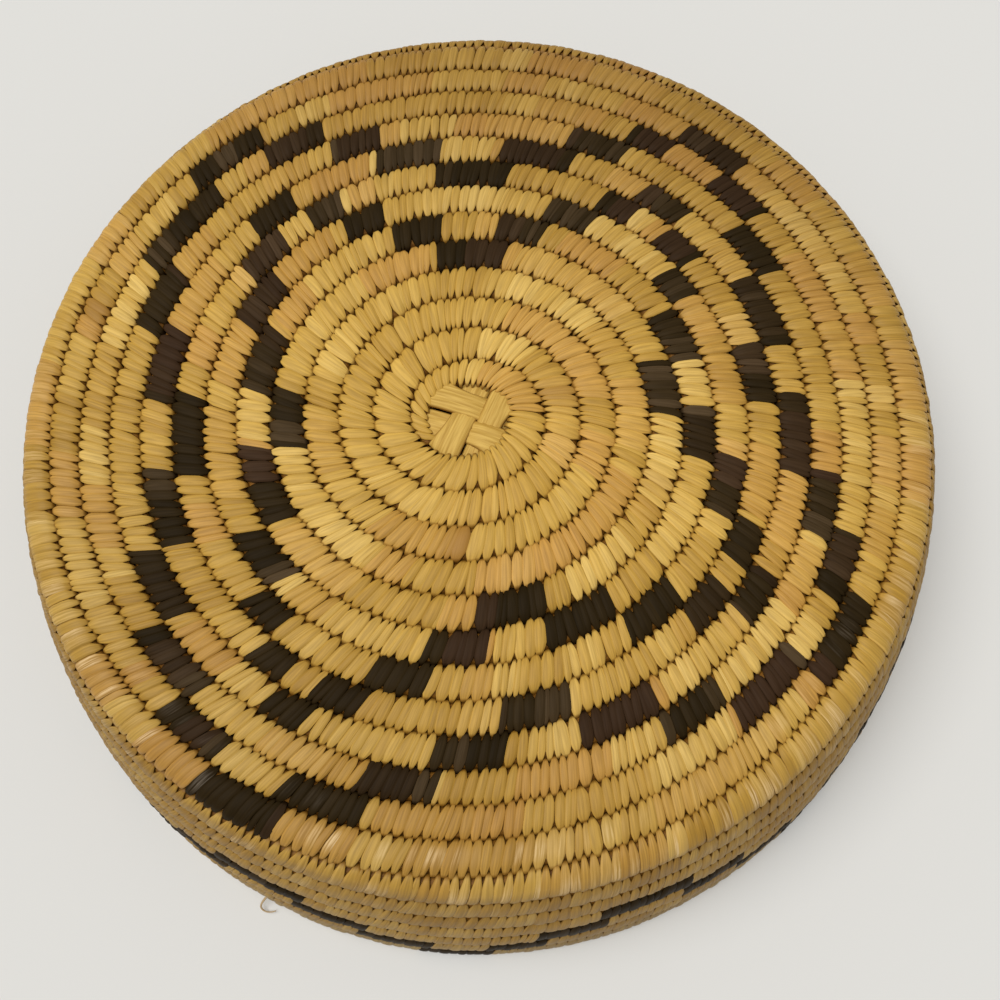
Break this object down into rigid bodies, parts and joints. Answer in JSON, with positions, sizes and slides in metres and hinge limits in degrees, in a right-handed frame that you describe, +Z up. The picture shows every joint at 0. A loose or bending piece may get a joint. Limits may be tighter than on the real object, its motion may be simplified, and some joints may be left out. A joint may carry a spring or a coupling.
{
  "type": "coiled basket tray",
  "caption": "Shallow round tray of coiled yucca with a flat base, a flared wall and dark stepped stars, standing on its rim with the opening down.",
  "frame": {"origin": "on the floor under the middle of the tray, in the plane of the rim's flat", "axes": "+Z up, from the rim to the base; the opening faces -Z; +Y away from the side the picture was taken from"},
  "size_m": [0.2779, 0.2918, 0.0503],
  "materials": {
    "yucca_coil": "matte dry fibre",
    "dark_stitch": "satin",
    "plait": "satin leaf strip"
  },
  "bodies": {
    "root": {"base_coil": "yucca_coil", "wall_coil": "yucca_coil", "rim_coil": "yucca_coil", "outer_star_point_1": "dark_stitch", "outer_star_point_2": "dark_stitch", "outer_star_point_3": "dark_stitch", "outer_star_point_4": "dark_stitch", "inner_star_point_1": "dark_stitch", "inner_star_point_2": "dark_stitch", "inner_star_point_3": "dark_stitch", "inner_star_point_4": "dark_stitch", "wall_zigzag_1": "dark_stitch", "wall_zigzag_2": "dark_stitch", "wall_zigzag_3": "dark_stitch", "wall_zigzag_4": "dark_stitch", "wall_zigzag_5": "dark_stitch", "wall_zigzag_6": "dark_stitch", "wall_zigzag_7": "dark_stitch", "wall_zigzag_8": "dark_stitch", "start_strip_1": "plait", "start_strip_2": "plait", "start_strip_3": "plait", "start_strip_4": "plait"}
  },
  "joints": []
}
